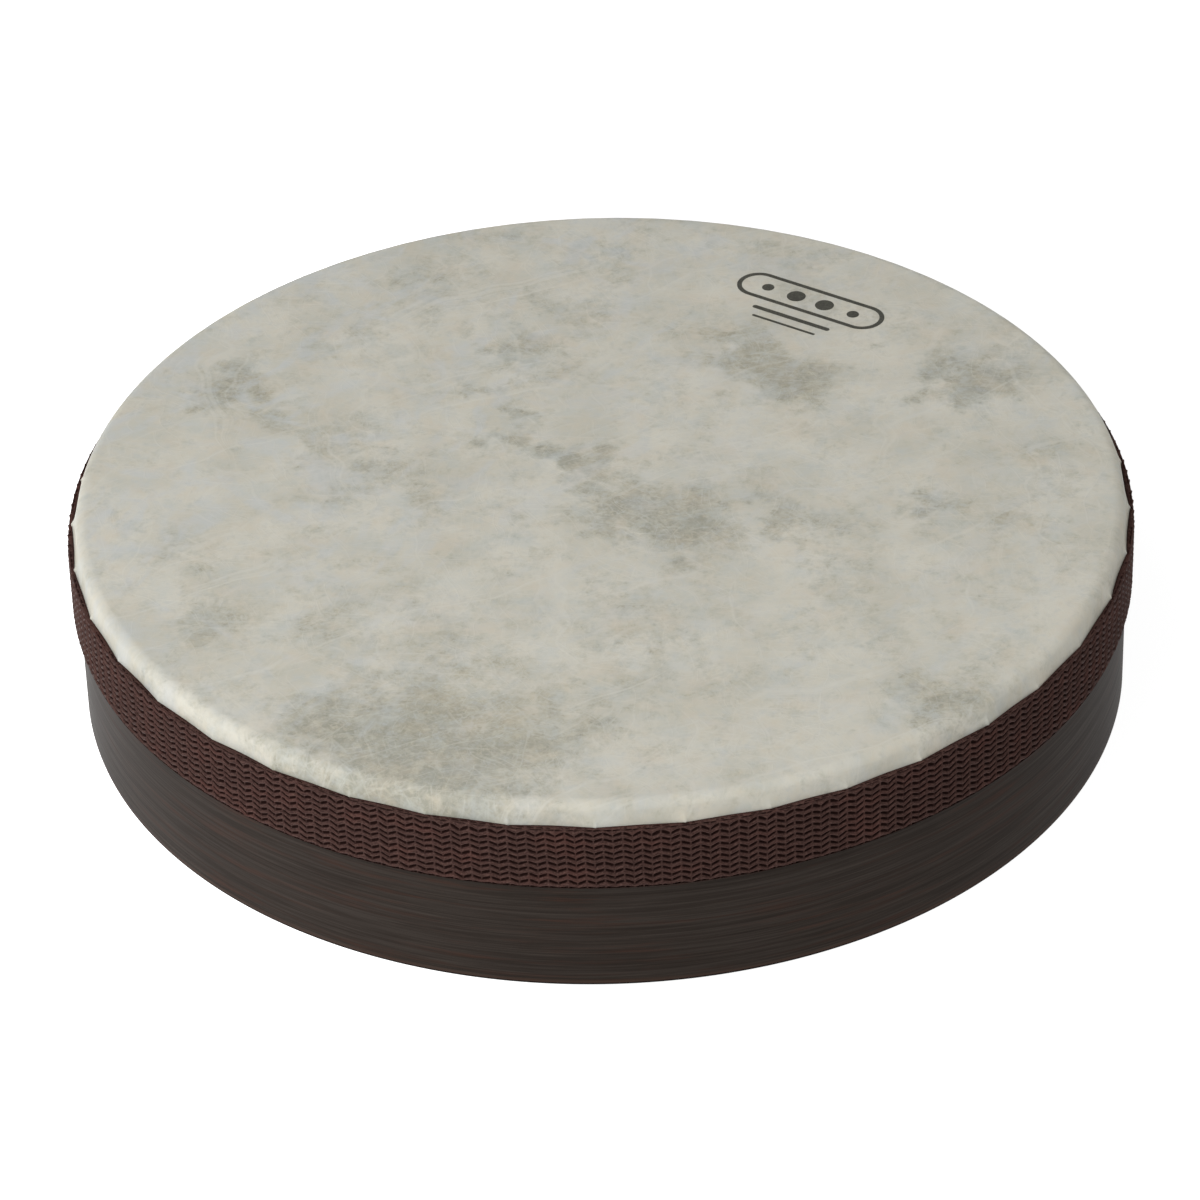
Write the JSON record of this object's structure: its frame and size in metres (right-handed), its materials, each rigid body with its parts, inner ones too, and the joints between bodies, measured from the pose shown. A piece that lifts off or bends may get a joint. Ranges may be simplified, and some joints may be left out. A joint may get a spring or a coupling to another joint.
{
  "type": "frame drum",
  "caption": "Shallow round hand drum: thin laminated hoop, flat fibre-laminated film head bent over the rim, woven webbing around the head's skirt, open underneath.",
  "frame": {"origin": "centre of the resting edge, on the surface that the drum stands on", "axes": "+Z is the drum's axis, up through the head; the drum is round about it, and the wrap's seam faces +Y"},
  "size_m": [0.3088, 0.3088, 0.0615],
  "materials": {
    "shell_ply": "bare resin-bound wood fibre, matte",
    "shell_wrap": "dark wood-grain film, satin",
    "resin": "hard amber resin",
    "head_film": "milky polyester film, smooth",
    "head_fibre": "cloudy polyester fibre laminate, satin",
    "adhesive": "dark contact adhesive",
    "webbing": "brown woven polypropylene webbing, zigzag ribs"
  },
  "bodies": {
    "root": {"shell_ply_1": "shell_ply", "shell_ply_2": "shell_ply", "shell_ply_3": "shell_ply", "shell_ply_4": "shell_ply", "shell_ply_5": "shell_ply", "shell_ply_6": "shell_ply", "shell_wrap": "shell_wrap", "head_bond": "resin", "head_film": "head_film", "head_fibre_layer": "head_fibre", "webbing_adhesive": "adhesive", "webbing_band": "webbing"}
  },
  "joints": []
}
